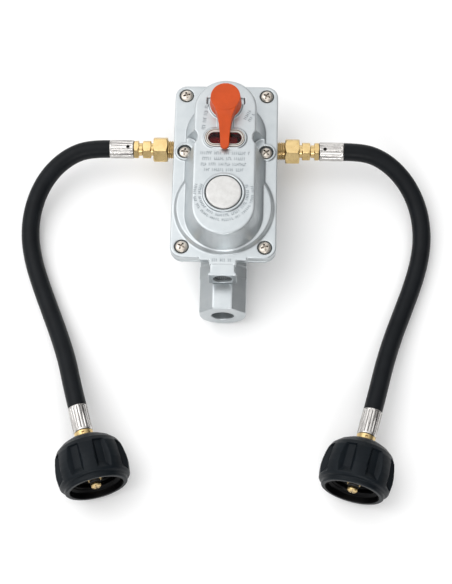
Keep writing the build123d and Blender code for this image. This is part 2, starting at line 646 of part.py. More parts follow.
def tank_nipple():
    nipple = turned([
        (3.2, -5.8), (4.6, -5.8), (6.2, -7.6), (6.2, -25.5), (11.0, -25.5), (11.0, -28.6), (7.05, -28.6),
        (7.05, -nut_length - 0.3), (6.9, -nut_length - 0.3), (6.9, tank_ferrule_high + 0.1),
        (3.6, tank_ferrule_high + 0.1), (3.6, tank_ferrule_low + 1.5),
        (2.2, tank_ferrule_low + 1.5), (2.2, -38.0), (4.0, -36.0), (4.0, -15.0), (3.2, -14.0),
    ])
    notch = block(-0.9, 0.9, 5.6, 8.0, -42.0, -nut_length - 1.4)
    return nipple - notch - Rot(0, 0, 180) * notch


def tank_probe():
    """Nose that opens the cylinder valve: crossed gas slots and a neck for its seal."""
    probe = turned([
        (0, -0.4), (2.4, -0.4), (3.4, -1.0), (3.8, -2.0), (3.8, -3.6), (2.4, -3.6), (2.4, -5.8),
        (3.15, -5.8), (3.15, -13.8), (1.4, -13.8), (1.4, -4.4), (0, -4.4),
    ])
    slot = block(-0.45, 0.45, -5, 5, -1.6, 1)
    return probe - slot - Rot(0, 0, 90) * slot


def tank_end(name, hose):
    place = mouth_frame(hose).location
    nodes[f"tank_ferrule_{name}"] = place * ferrule(tank_ferrule_low, tank_ferrule_high, 3.6)
    nodes[f"tank_nipple_{name}"] = place * tank_nipple()
    nodes[f"tank_probe_{name}"] = place * tank_probe()
    nodes[f"probe_seal_{name}"] = place * turned([
        (2.45, -5.75), (3.9, -5.6), (4.2, -4.7), (3.9, -3.8), (2.45, -3.65),
    ])
    nodes[f"handwheel_{name}"] = place * handwheel()
    nodes[f"thermal_bushing_{name}"] = place * turned([
        (7.5, -31.5), (14.9, -31.5), (14.9, -29.6), (12.0, -29.2), (7.5, -29.2),
    ])
    nodes[f"flow_poppet_{name}"] = place * turned([
        (0, -21.0), (1.6, -20.4), (3.6, -22.6), (3.6, -30.0), (2.9, -30.0), (2.9, -25.0), (0, -25.0),
    ])
    nodes[f"poppet_spring_{name}"] = place * coil(2.2, 0.7, 4, -35.6, -28.2)


def hose_tube(name, hose):
    frame = mouth_frame(hose)
    end = Vector(hose["mouth"]) + frame.z_dir * tank_ferrule_low
    route = [Vector(*point) for point in hose["route"]]
    route += [end - frame.z_dir * hose["last_run"], end]
    runs = [after - before for before, after in zip(route, route[1:])]
    radii = []
    for before, after in zip(runs, runs[1:]):
        half_turn = radians(before.get_angle(after)) / 2
        radii.append(0.45 * min(before.length, after.length) / tan(half_turn))
    path = FilletPolyline(*route, radius=radii)
    section = Plane(origin=route[0], z_dir=runs[0]) * (Circle(hose_diameter / 2) - Circle(hose_bore / 2))
    tube = sweep(section, path)
    area = pi * (hose_diameter ** 2 - hose_bore ** 2) / 4
    print(name, "hose length", round(path.length, 1), "volume ratio", round(tube.volume / area / path.length, 4))
    print(name, "radii", [round(radius, 1) for radius in radii])
    nodes[f"hose_{name}"] = tube


for name, hose in hoses.items():
    regulator_end(name, hose["side"])
    tank_end(name, hose)
    hose_tube(name, hose)

os.makedirs("parts", exist_ok=True)
for name, shape in nodes.items():
    export_step(shape, f"parts/{name}.step")
print(len(nodes), "nodes")
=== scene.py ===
import json
import math
import random

import bmesh
import bpy
import numpy as np
from mathutils import Matrix, Vector

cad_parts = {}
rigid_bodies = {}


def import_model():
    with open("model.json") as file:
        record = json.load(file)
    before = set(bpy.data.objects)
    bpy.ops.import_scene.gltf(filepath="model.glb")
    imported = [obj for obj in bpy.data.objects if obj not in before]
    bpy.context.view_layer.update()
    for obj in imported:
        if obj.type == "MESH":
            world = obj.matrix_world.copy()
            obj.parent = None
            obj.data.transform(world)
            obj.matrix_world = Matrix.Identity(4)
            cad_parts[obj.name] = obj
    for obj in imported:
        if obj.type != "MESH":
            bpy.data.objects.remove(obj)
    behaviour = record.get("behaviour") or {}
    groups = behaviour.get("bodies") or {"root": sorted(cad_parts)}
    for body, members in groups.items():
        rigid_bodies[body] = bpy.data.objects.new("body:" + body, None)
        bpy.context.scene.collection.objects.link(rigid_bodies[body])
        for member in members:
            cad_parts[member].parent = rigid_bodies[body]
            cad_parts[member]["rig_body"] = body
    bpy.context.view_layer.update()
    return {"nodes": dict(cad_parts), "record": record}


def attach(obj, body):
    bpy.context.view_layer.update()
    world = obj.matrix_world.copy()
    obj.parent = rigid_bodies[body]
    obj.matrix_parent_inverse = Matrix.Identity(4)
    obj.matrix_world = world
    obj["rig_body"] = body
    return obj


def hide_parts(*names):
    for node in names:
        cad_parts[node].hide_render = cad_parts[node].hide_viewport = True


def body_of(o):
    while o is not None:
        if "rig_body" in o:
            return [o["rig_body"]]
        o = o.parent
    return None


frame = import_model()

# Two-stage gas regulator with two hoses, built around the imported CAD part, in the part's own frame.
# Blender works in metres. The dimensions below are in millimetres, which MM turns into metres.
MM = 0.001
SIDES = {"left": -1, "right": 1}

# Places on the regulator that several pieces share.
BOSS_TOP = 73.0
FLANGE_TOP = 53.0
SECOND_STAGE_Y = -10.8
WINDOW_Y = 33.0
SCREW_X = 30.5
SCREW_ROWS = (-45.2, 31.0, 78.2)
SCREW_SEAT = 51.8
INLET_Y = 45.0
INLET_Z = 27.0

SLOTS = {part["node"]: part["material_slot"] for part in frame["record"]["subparts"]}


# ---- camera ----

def make_camera():
    """Camera past the outlet's end of the regulator, looking steeply down."""
    azimuth = math.radians(4.4681)
    elevation = math.radians(70.0806)
    roll = math.radians(-3.3051)
    distance = 1.1
    aim = Vector((1.561, -61.0, 0.0)) * MM
    back = Vector((math.sin(azimuth) * math.cos(elevation),
                   -math.cos(azimuth) * math.cos(elevation), math.sin(elevation)))
    right = Vector((math.cos(azimuth), math.sin(azimuth), 0))
    up = back.cross(right)
    turned_right = right * math.cos(roll) + up * math.sin(roll)
    turned_up = up * math.cos(roll) - right * math.sin(roll)
    data = bpy.data.cameras.new("camera")
    data.lens = 88.97
    data.sensor_width = 36
    data.clip_start = 0.01
    camera = bpy.data.objects.new("camera", data)
    axes = Matrix((turned_right, turned_up, back)).transposed()
    camera.matrix_world = Matrix.Translation(aim + back * distance) @ axes.to_4x4()
    bpy.context.scene.collection.objects.link(camera)
    bpy.context.scene.camera = camera


make_camera()
bpy.context.scene.view_settings.view_transform = "Standard"


# ---- materials ----

class Look:
    """A Principled material with helpers for procedural detail, in the part's own coordinates."""

    def __init__(self, name, color, roughness, metallic=0.0, **sockets):
        self.mat = bpy.data.materials.new(name)
        self.mat.use_nodes = True
        self.tree = self.mat.node_tree
        self.shader = self.tree.nodes["Principled BSDF"]
        self.shader.inputs["Base Color"].default_value = (*color, 1)
        self.shader.inputs["Roughness"].default_value = roughness
        self.shader.inputs["Metallic"].default_value = metallic
        for socket, value in sockets.items():
            self.shader.inputs[socket.replace("_", " ")].default_value = value
        self.mat.diffuse_color = (*color, 1)
        self.coords = self.node("ShaderNodeTexCoord").outputs["Object"]
        self.color_out = None
        self.normal_out = None

    def node(self, kind, **settings):
        made = self.tree.nodes.new(kind)
        for key, value in settings.items():
            setattr(made, key, value)
        return made

    def feed(self, target, source):
        self.tree.links.new(source, target)

    def stretched(self, stretch):
        """The object's coordinates, scaled along each axis."""
        if stretch is None:
            return self.coords
        mapping = self.node("ShaderNodeMapping")
        mapping.inputs["Scale"].default_value = stretch
        self.feed(mapping.inputs["Vector"], self.coords)
        return mapping.outputs["Vector"]

    def noise(self, size_mm, detail=3.0, rough=0.55, stretch=None):
        """Noise whose features are about size_mm across."""
        made = self.node("ShaderNodeTexNoise")
        made.inputs["Scale"].default_value = 1 / (size_mm * MM)
        made.inputs["Detail"].default_value = detail
        made.inputs["Roughness"].default_value = rough
        self.feed(made.inputs["Vector"], self.stretched(stretch))
        return made.outputs["Fac"]

    def spread(self, value, low, high, start=0.3, end=0.7):
        """Maps a value from start..end to low..high."""
        made = self.node("ShaderNodeMapRange")
        self.feed(made.inputs["Value"], value)
        for key, number in (("From Min", start), ("From Max", end), ("To Min", low), ("To Max", high)):
            made.inputs[key].default_value = number
        return made.outputs["Result"]

    def roughness(self, value, low, high):
        self.feed(self.shader.inputs["Roughness"], self.spread(value, low, high))

    def blend(self, factor, color, first=None):
        """Blends from the base colour so far, or from the colour first, to another by a factor."""
        made = self.node("ShaderNodeMix", data_type="RGBA")
        self.feed(made.inputs["Factor"], factor)
        if first:
            made.inputs["A"].default_value = (*first, 1)
        else:
            self.feed(made.inputs["A"], self.color_out)
        made.inputs["B"].default_value = (*color, 1)
        self.color_out = made.outputs["Result"]
        self.feed(self.shader.inputs["Base Color"], self.color_out)

    def tint(self, value, dark, light, start=0.3, end=0.7):
        """Varies the base colour from dark to light by a noise value."""
        self.blend(self.spread(value, 0, 1, start, end), light, first=dark)

    def painted_shade(self, reach_mm, color, start=0.35, end=0.9):
        """Painted shade: darkens the colour, by ambient occlusion, in hollows and corners that are
        narrower than about reach_mm.
        """
        made = self.node("ShaderNodeAmbientOcclusion", samples=8)
        made.inputs["Distance"].default_value = reach_mm * MM
        self.blend(self.spread(made.outputs["AO"], 1, 0, start, end), color)

    def inside(self, radii_mm, heights_mm):
        """1 near local Z and high up on it. It fades out from the first of the two radii to the
        second, and in from the first of the two heights to the second."""
        flat = self.node("ShaderNodeVectorMath", operation="MULTIPLY")
        flat.inputs[1].default_value = (1, 1, 0)
        self.feed(flat.inputs[0], self.coords)
        length = self.node("ShaderNodeVectorMath", operation="LENGTH")
        self.feed(length.inputs[0], flat.outputs["Vector"])
        near_axis = self.spread(length.outputs["Value"], 1, 0, *(radius * MM for radius in radii_mm))
        split = self.node("ShaderNodeSeparateXYZ")
        self.feed(split.inputs["Vector"], self.coords)
        in_front = self.spread(split.outputs["Z"], 0, 1, *(height * MM for height in heights_mm))
        both = self.node("ShaderNodeMath", operation="MULTIPLY")
        self.feed(both.inputs[0], near_axis)
        self.feed(both.inputs[1], in_front)
        return both.outputs["Value"]

    def face_along(self, normal):
        """Shades along another normal, which the next bump starts from."""
        self.normal_out = normal
        self.feed(self.shader.inputs["Normal"], normal)

    def bevel(self, radius_mm):
        made = self.node("ShaderNodeBevel", samples=6)
        made.inputs["Radius"].default_value = radius_mm * MM
        self.face_along(made.outputs["Normal"])

    def bump(self, value, depth_mm, strength=1.0):
        made = self.node("ShaderNodeBump")
        made.inputs["Strength"].default_value = strength
        made.inputs["Distance"].default_value = depth_mm * MM
        self.feed(made.inputs["Height"], value)
        if self.normal_out is not None:
            self.feed(made.inputs["Normal"], self.normal_out)
        self.face_along(made.outputs["Normal"])


def casting_look():
    look = Look("casting_paint", (0.56, 0.60, 0.62), 0.4, metallic=0.8,
                Coat_Weight=0.12, Coat_Roughness=0.3)
    look.tint(look.noise(9.0, detail=4), (0.455, 0.488, 0.505), (0.508, 0.538, 0.551))
    # Painted shade: darker paint colour in the casting's creases, round its marks and screws.
    look.painted_shade(1.4, (0.25, 0.285, 0.30), 0.3, 0.8)
    look.roughness(look.noise(0.6, detail=3), 0.28, 0.4)
    look.bump(look.noise(1.6, detail=3), 0.05, 0.35)
    look.bump(look.noise(0.3, detail=2), 0.012, 0.5)
    return look.mat


def mark_look():
    """The raised marks, in a darker and duller grey than the casting's paint."""
    look = Look("casting_marks", (0.40, 0.425, 0.44), 0.5, metallic=0.6)
    look.tint(look.noise(2.5, detail=3), (0.36, 0.395, 0.415), (0.45, 0.48, 0.50))
    look.bump(look.noise(0.3, detail=2), 0.012, 0.5)
    return look.mat


def brass_look():
    look = Look("brass", (0.66, 0.49, 0.235), 0.3, metallic=1.0)
    look.tint(look.noise(5.0, detail=3), (0.61, 0.44, 0.20), (0.71, 0.535, 0.265))
    # Painted shade: darker brown colour in the fittings' hollows and corners.
    look.painted_shade(1.0, (0.30, 0.19, 0.07), 0.3, 0.8)
    look.roughness(look.noise(2.0, detail=2), 0.26, 0.34)
    look.bump(look.noise(0.5, detail=2), 0.006, 0.4)
    return look.mat


def plated_look():
    """Plated sleeves with painted shade: dark streaks along them in the colour stand in for the shade in
    their crimped grooves, and their hollows are near black.
    """
    look = Look("plated_steel", (0.60, 0.58, 0.56), 0.24, metallic=1.0)
    shade_streak = look.noise(0.7, detail=3, rough=0.7, stretch=(1, 1, 0.04))
    # Painted shade: dark streaks in the colour, running along the sleeve.
    look.tint(shade_streak, (0.16, 0.15, 0.145), (0.66, 0.64, 0.62), 0.36, 0.52)
    # Painted shade: near black in the sleeve's hollows.
    look.painted_shade(2.2, (0.02, 0.02, 0.02), 0.4, 0.85)
    look.roughness(look.noise(0.7, detail=3), 0.18, 0.32)
    look.bump(shade_streak, 0.03, 0.4)
    look.bump(look.noise(0.3, detail=2), 0.008, 0.5)
    return look.mat


def steel_look(name, color, roughness, bevel=0.15):
    look = Look(name, color, roughness, metallic=1.0)
    dark = tuple(c * 0.88 for c in color)
    look.tint(look.noise(1.2, detail=3), dark, color)
    # Painted shade: near black in hollows, such as the screws' cross recesses.
    look.painted_shade(1.1, (0.03, 0.028, 0.025), 0.42, 0.85)
    look.roughness(look.noise(0.4, detail=2), roughness - 0.06, roughness + 0.1)
    if bevel:
        look.bevel(bevel)
    look.bump(look.noise(0.25, detail=2), 0.01, 0.5)
    return look.mat


def hose_look():
    """Black rubber, faintly uneven along its length."""
    look = Look("hose_rubber", (0.0075, 0.0085, 0.0105), 0.48, Specular_IOR_Level=0.13)
    look.tint(look.noise(14.0, detail=4), (0.004, 0.005, 0.0065), (0.0065, 0.008, 0.010))
    look.roughness(look.noise(3.0, detail=4), 0.36, 0.5)
    look.bump(look.noise(0.45, detail=3), 0.03, 0.4)
    look.bump(look.noise(4.0, detail=2), 0.1, 0.2)
    return look.mat


def nut_look():
    """Black moulded plastic, with painted shade: near black in its deep hollows and inside the nut's
    mouth.
    """
    look = Look("nut_plastic", (0.0055, 0.0078, 0.0105), 0.42, Specular_IOR_Level=0.12)
    look.tint(look.noise(10.0, detail=3), (0.004, 0.0062, 0.0085), (0.0065, 0.0095, 0.0125))
    # Painted shade: near black in the deep hollows, inside the thread most of all.
    look.painted_shade(14.0, (0.001, 0.001, 0.002), 0.28, 0.55)
    # Painted shade: near black inside the mouth, nearer the axis than its rim and in front of its back
    # wall.
    look.blend(look.inside(radii_mm=(19.6, 20.4), heights_mm=(-33.0, -32.0)), (0.0006, 0.0006, 0.0008))
    look.roughness(look.noise(1.5, detail=3), 0.33, 0.46)
    look.bump(look.noise(0.35, detail=2), 0.012, 0.5)
    return look.mat


def plastic_look(name, color, roughness, bevel=0.3, grain=0.012, painted_shade=None, **sockets):
    look = Look(name, color, roughness, **sockets)
    dark = tuple(c * 0.93 for c in color)
    light = tuple(min(1.0, c * 1.05) for c in color)
    look.tint(look.noise(6.0, detail=3), dark, light)
    # Painted shade: when a colour for it is given, it darkens the colour in the piece's creases.
    if painted_shade:
        look.painted_shade(1.0, painted_shade, 0.45, 0.9)
    look.roughness(look.noise(0.8, detail=3), roughness - 0.05, roughness + 0.07)
    if bevel:
        look.bevel(bevel)
    look.bump(look.noise(0.35, detail=2), grain, 0.6)
    return look.mat


def rubber_look(name, color, roughness):
    look = Look(name, color, roughness)
    dark = tuple(c * 0.8 for c in color)
    look.tint(look.noise(2.0, detail=3), dark, color)
    look.bump(look.noise(0.4, detail=2), 0.02, 0.6)
    return look.mat


def cap_look():
    """Metallised plastic cap, cloudy with handling."""
    look = Look("cap_plastic", (0.80, 0.79, 0.77), 0.4, metallic=0.35)
    look.tint(look.noise(5.0, detail=5, rough=0.65), (0.54, 0.535, 0.52), (0.65, 0.645, 0.635))
    look.roughness(look.noise(1.2, detail=4), 0.32, 0.5)
    look.bump(look.noise(0.6, detail=3), 0.015, 0.5)
    return look.mat


CASTING = casting_look()
MARKS = mark_look()
BRASS = brass_look()
PLATED = plated_look()
HOSE = hose_look()
NUT = nut_look()
LEVER = plastic_look("lever_plastic", (0.53, 0.062, 0.003), 0.45, bevel=0, Specular_IOR_Level=0.3)
CAP = cap_look()
# Painted shade: brownish darkening in the bezel's grooves and round the lens.
BEZEL = plastic_look("bezel_plastic", (0.72, 0.70, 0.65), 0.3, bevel=0, painted_shade=(0.16, 0.09, 0.06))
SCREW = steel_look("zinc_steel", (0.66, 0.60, 0.53), 0.3, bevel=0)
STEEL = steel_look("spring_steel", (0.62, 0.62, 0.63), 0.25)
PLATE = steel_look("plate_steel", (0.60, 0.60, 0.62), 0.35)
SCREEN = steel_look("screen_steel", (0.35, 0.36, 0.37), 0.4, bevel=0)
DARK_RUBBER = rubber_look("seal_rubber", (0.02, 0.02, 0.022), 0.5)
DIAPHRAGM = rubber_look("diaphragm_rubber", (0.09, 0.08, 0.07), 0.7)
GASKET = rubber_look("gasket_rubber", (0.30, 0.32, 0.33), 0.6)
GREY_PLASTIC = plastic_look("screw_plastic", (0.28, 0.28, 0.29), 0.45)
BUSHING = plastic_look("bushing_plastic", (0.035, 0.036, 0.04), 0.5)
RED = plastic_look("indicator_red", (0.42, 0.012, 0.022), 0.5)
WHITE = plastic_look("indicator_white", (0.75, 0.75, 0.72), 0.4)


def lens_look():
    look = Look("lens_plastic", (0.62, 0.14, 0.16), 0.05, Transmission_Weight=1.0, IOR=1.25)
    look.bump(look.noise(5.0, detail=2), 0.02, 0.15)
    return look.mat


LENS = lens_look()

SLOT_LOOKS = {
    "casting_paint": CASTING, "gasket_rubber": GASKET, "zinc_steel": SCREW, "cap_plastic": CAP,
    "screw_plastic": GREY_PLASTIC, "spring_steel": STEEL, "diaphragm_rubber": DIAPHRAGM,
    "plate_steel": PLATE, "brass": BRASS, "seal_rubber": DARK_RUBBER, "lever_plastic": LEVER,
    "bezel_plastic": BEZEL, "lens_plastic": LENS, "indicator_red": RED, "indicator_white": WHITE,
    "screen_steel": SCREEN, "plated_steel": PLATED, "hose_rubber": HOSE, "nut_plastic": NUT,
    "bushing_plastic": BUSHING,
}


def dress_nodes():
    for node, slot in SLOTS.items():
        materials = frame["nodes"][node].data.materials
        materials.clear()
        materials.append(SLOT_LOOKS[slot])


dress_nodes()


# ---- hoses ----

# The middle of each nut's mouth, and the way it faces: degrees from the outlet's direction.
MOUTHS = {"left": ((-85.7, -220.2, 28.0), 16.6), "right": ((94.6, -219.8, 28.0), -14.6)}
NIPPLE_PITCH = 6.0
HOSE_DIAMETER = 13.8
# Height of the hose's end in the mouth's frame, and the length of its last straight run.
HOSE_END = -63.5
LAST_RUN = 18.5
# The control points from each inlet fitting on. The last two follow from the mouth.
ROUTES = {
    "left": [
        (-90.0, 45.0, 27.0), (-104.5, 45.0, 27.0), (-119.0, 40.5, 25.2), (-132.3, 30.5, 22.2),
        (-142.5, 16.5, 17.7), (-148.7, -1.0, 13.0), (-150.0, -20.5, 9.5), (-146.2, -40.5, 7.7),
        (-138.8, -61.0, 7.4), (-130.3, -81.5, 8.4), (-121.8, -102.0, 11.2), (-114.3, -122.3, 15.4),
    ],
    "right": [
        (90.0, 45.0, 27.0), (104.5, 45.0, 27.0), (118.5, 40.5, 25.2), (131.5, 30.8, 22.2),
        (142.0, 17.0, 17.9), (148.7, -0.3, 13.3), (150.6, -19.5, 9.6), (147.7, -39.2, 7.7),
        (141.6, -59.3, 7.4), (134.0, -79.7, 8.4), (126.5, -100.0, 11.2), (120.0, -121.2, 15.4),
    ],
}


def mouth_place(name):
    """Local frame of a cylinder-end fitting, in metres: origin in the nut's mouth, +Z out of it."""
    mouth, yaw_degrees = MOUTHS[name]
    yaw = math.radians(yaw_degrees)
    pitch = math.radians(NIPPLE_PITCH)
    level = Vector((math.sin(yaw), -math.cos(yaw), 0))
    outwards = level * math.cos(pitch) + Vector((0, 0, math.sin(pitch)))
    across = Vector((math.cos(yaw), math.sin(yaw), 0))
    axes = Matrix((across, outwards.cross(across), outwards)).transposed()
    return Matrix.Translation(Vector(mouth) * MM) @ axes.to_4x4()


def hose_curve(name):
    """A hose on the CAD tube's own route points, rounded at each by a NURBS of order 3."""
    place = mouth_place(name)
    points = [Vector(point) * MM for point in ROUTES[name]]
    points += [place @ Vector((0, 0, height * MM)) for height in (HOSE_END - LAST_RUN, HOSE_END)]
    data = bpy.data.curves.new(f"hose_{name}_line", "CURVE")
    data.dimensions = "3D"
    spline = data.splines.new("NURBS")
    spline.points.add(len(points) - 1)
    for control, point in zip(spline.points, points):
        control.co = (*point, 1)
    spline.order_u = 3
    spline.use_endpoint_u = True
    spline.resolution_u = 16
    data.bevel_depth = HOSE_DIAMETER / 2 * MM
    data.bevel_resolution = 8
    data.use_fill_caps = True
    hose = bpy.data.objects.new(f"hose_{name}_rubber", data)
    data.materials.append(HOSE)
    bpy.context.scene.collection.objects.link(hose)
    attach(hose, "regulator")
    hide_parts(f"hose_{name}")
    return hose


HOSES = {name: hose_curve(name) for name in SIDES}


# ---- building pieces ----

def add_piece(name, mesh, node, place=Matrix.Identity(4)):
    """Puts a mesh in the scene in place of a CAD node, with that node's look, slot and body."""
    piece = bpy.data.objects.new(name, mesh)
    piece.matrix_world = place
    mesh.materials.clear()
    mesh.materials.append(SLOT_LOOKS[SLOTS[node]])
    bpy.context.scene.collection.objects.link(piece)
    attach(piece, body_of(frame["nodes"][node])[0])
    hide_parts(node)


def soft_outline(corners, cut, step, closed=True):
    """Rounds each corner of an outline over at most cut and splits its long edges at step."""
    count = len(corners)
    points = []
    for index, corner in enumerate(corners):
        here = Vector(corner)
        if not closed and index in (0, count - 1):
            points.append(here)
            continue
        before = Vector(corners[index - 1]) - here
        after = Vector(corners[(index + 1) % count]) - here
        start = here + before.normalized() * min(cut, before.length * 0.45)
        end = here + after.normalized() * min(cut, after.length * 0.45)
        for t in (0, 0.33, 0.67, 1):
            points.append(start * (1 - t) ** 2 + here * (2 * t * (1 - t)) + end * t ** 2)
    outline = []
    ends = points[1:] + points[:1] if closed else points[1:]
    for start, end in zip(points, ends):
        pieces = max(1, math.ceil((end - start).length / step))
        outline += [start.lerp(end, k / pieces) for k in range(pieces)]
    if not closed:
        outline.append(points[-1])
    return np.array([tuple(point) for point in outline])


def shaded_mesh(name, points, faces, sharp_degrees):
    """A mesh with its normals outwards, smooth except at edges sharper than sharp_degrees."""
    mesh = bpy.data.meshes.new(name)
    mesh.from_pydata(points, [], faces)
    shaped = bmesh.new()
    shaped.from_mesh(mesh)
    bmesh.ops.recalc_face_normals(shaped, faces=shaped.faces)
    shaped.to_mesh(mesh)
    shaped.free()
    mesh.shade_smooth()
    mesh.set_sharp_from_angle(angle=math.radians(sharp_degrees))
    return mesh


def lathe(name, outline, around, shape=None, closed=True, sharp_degrees=32):
    """A turned mesh on local Z from (radius, height) points in millimetres.

    shape(radius, height, angle) may move the points, for example into a hexagon or a thread."""
    angle = np.arange(around) * 2 * math.pi / around
    radius, theta = np.meshgrid(outline[:, 0], angle, indexing="ij")
    height = np.meshgrid(outline[:, 1], angle, indexing="ij")[0]
    if shape:
        radius, height = shape(radius, height, theta)
    points = np.stack([radius * np.cos(theta), radius * np.sin(theta), height], -1).reshape(-1, 3) * MM
    rows = len(outline)
    ring = np.arange(around)
    ring_next = (ring + 1) % around
    faces = []
    for row in range(rows if closed else rows - 1):
        low = row * around
        high = (row + 1) % rows * around
        faces += np.stack([low + ring, low + ring_next, high + ring_next, high + ring], -1).tolist()
    if not closed:
        faces.append(ring[::-1].tolist())
        faces.append(((rows - 1) * around + ring).tolist())
    return shaded_mesh(name, points.tolist(), faces, sharp_degrees)


def hexagon(radius, theta, flats, corner_cut=0.12):
    """Radius cut down to a hexagonal bar of that size across its flats, with blunted corners."""
    turn = np.mod(theta + math.pi / 6, math.pi / 3) - math.pi / 6
    bar = np.minimum(flats / 2 / np.cos(turn), flats / 2 / math.cos(math.pi / 6) - corner_cut)
    return np.minimum(radius, bar)


def thread_height(height, theta, pitch):
    """0 in a right-hand thread's root and 1 on its crest, with a flat on each."""
    phase = np.mod(height / pitch - theta / (2 * math.pi), 1)
    flank_slope = 5.2
    return np.clip(1.9 - np.abs(phase - 0.5) * flank_slope, 0, 1)


def softened(name, node, voxel_mm, rounds, keep):
    """A CAD piece with the rounded edges of a casting or moulding: remeshed, smoothed, thinned."""
    source = frame["nodes"][node]
    piece = bpy.data.objects.new(name, source.data.copy())
    piece.matrix_world = source.matrix_world.copy()
    bpy.context.scene.collection.objects.link(piece)
    remesh = piece.modifiers.new("remesh", "REMESH")
    remesh.mode = "VOXEL"
    remesh.voxel_size = voxel_mm * MM
    smooth = piece.modifiers.new("smooth", "SMOOTH")
    smooth.iterations = rounds
    thin = piece.modifiers.new("thin", "DECIMATE")
    thin.ratio = keep
    depsgraph = bpy.context.evaluated_depsgraph_get()
    mesh = bpy.data.meshes.new_from_object(piece.evaluated_get(depsgraph))
    place = piece.matrix_world.copy()
    bpy.data.objects.remove(piece)
    mesh.shade_smooth()
    add_piece(name, mesh, node, place)


# ---- castings and lever ----

softened("front_bonnet_cast", "front_bonnet", voxel_mm=0.42, rounds=4, keep=0.3)
softened("rear_body_cast", "rear_body", voxel_mm=0.55, rounds=4, keep=0.3)
softened("selector_lever_moulded", "selector_lever", voxel_mm=0.3, rounds=5, keep=0.5)


def raised_marks():
    """Cast marks on the bonnet: rows of plain upright strokes with gaps, in no language."""
    strokes = bmesh.new()
    rest = random.Random(11)
    rise = 0.4
    stroke_width, stroke_step = 0.42, 1.45
    word_gap, word_strokes = 1.5, (3, 7)
    foot_width, foot_depth, foot_offset, foot_share = 0.9, 0.32, 0.45, 0.6

    def moved(x, y, z=0.0):
        return Matrix.Translation(Vector((x, y, z)) * MM)

    def stroke(place, width, length):
        """A bar that stands out of the face by rise, and as deep again inside it."""
        size = Matrix.Diagonal((width * MM, length * MM, rise * 2 * MM, 1))
        bmesh.ops.create_cube(strokes, size=1, matrix=place @ size)

    def run(place_at, span, length):
        """Strokes along a span of millimetres; place_at(distance) gives the place of each."""
        along = 0
        word = rest.randint(*word_strokes)
        while along < span:
            if word == 0:
                along += word_gap
                word = rest.randint(*word_strokes)
                continue
            place = place_at(along)
            has_foot = rest.random() < foot_share
            stroke(place, stroke_width, length)
            if has_foot:
                foot_y = rest.choice((-0.5, 0.0, 0.5)) * (length - 0.3)
                stroke(place @ moved(foot_offset, foot_y), foot_width, foot_depth)
            along += stroke_step
            word -= 1

    def row(x, y, z, span, length, turn=0.0):
        start = moved(x, y, z) @ Matrix.Rotation(math.radians(turn), 4, "Z")
        run(lambda along: start @ moved(along, 0), span, length)

    def arc(radius, first, last, length):
        """A row round the adjuster cap, from one angle in degrees to another."""
        middle = moved(0, SECOND_STAGE_Y, BOSS_TOP)
        start = math.radians(first) + math.pi / 2
        run(lambda along: middle @ Matrix.Rotation(start + along / radius, 4, "Z") @ moved(0, -radius),
            math.radians(last - first) * radius, length)

    for y, x, span in ((21.0, -17.5, 35.0), (16.6, -16.0, 31.0), (12.0, -17.0, 33.5), (7.6, -14.5, 28.0)):
        row(x, y, BOSS_TOP, span, 2.3)
    arc(17.6, 158, 382, 1.9)
    arc(21.2, 162, 376, 1.9)
    row(-16.2, 40.5, BOSS_TOP, 19.0, 2.6, turn=84)
    row(14.4, 49.0, BOSS_TOP, 9.0, 2.2, turn=62)
    row(17.6, 47.5, BOSS_TOP, 7.0, 2.0, turn=62)
    row(-7.6, -55.4, FLANGE_TOP, 14.5, 2.4)
    mesh = bpy.data.meshes.new("cast_marks")
    strokes.to_mesh(mesh)
    strokes.free()
    mesh.materials.append(MARKS)
    piece = bpy.data.objects.new("cast_marks", mesh)
    rounding = piece.modifiers.new("rounding", "BEVEL")
    rounding.width = 0.09 * MM
    rounding.segments = 2
    bpy.context.scene.collection.objects.link(piece)
    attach(piece, "regulator")


raised_marks()


# ---- front fittings ----

def adjuster_cap():
    """Low domed disc, with the ring under it that grips the bonnet's bore."""
    outline = soft_outline([
        (0.02, 73.2), (10.0, 73.2), (10.0, 70.6), (11.9, 70.6), (11.9, 73.2), (12.9, 73.2), (12.9, 74.5),
        (12.4, 75.0), (11.2, 75.12), (0.02, 75.3)], 0.3, 0.5, closed=False)
    mesh = lathe("adjuster_cap_turned", outline, 144, closed=False)
    place = Matrix.Translation(Vector((0, SECOND_STAGE_Y, 0)) * MM)
    add_piece("adjuster_cap_turned", mesh, "adjuster_cap", place)


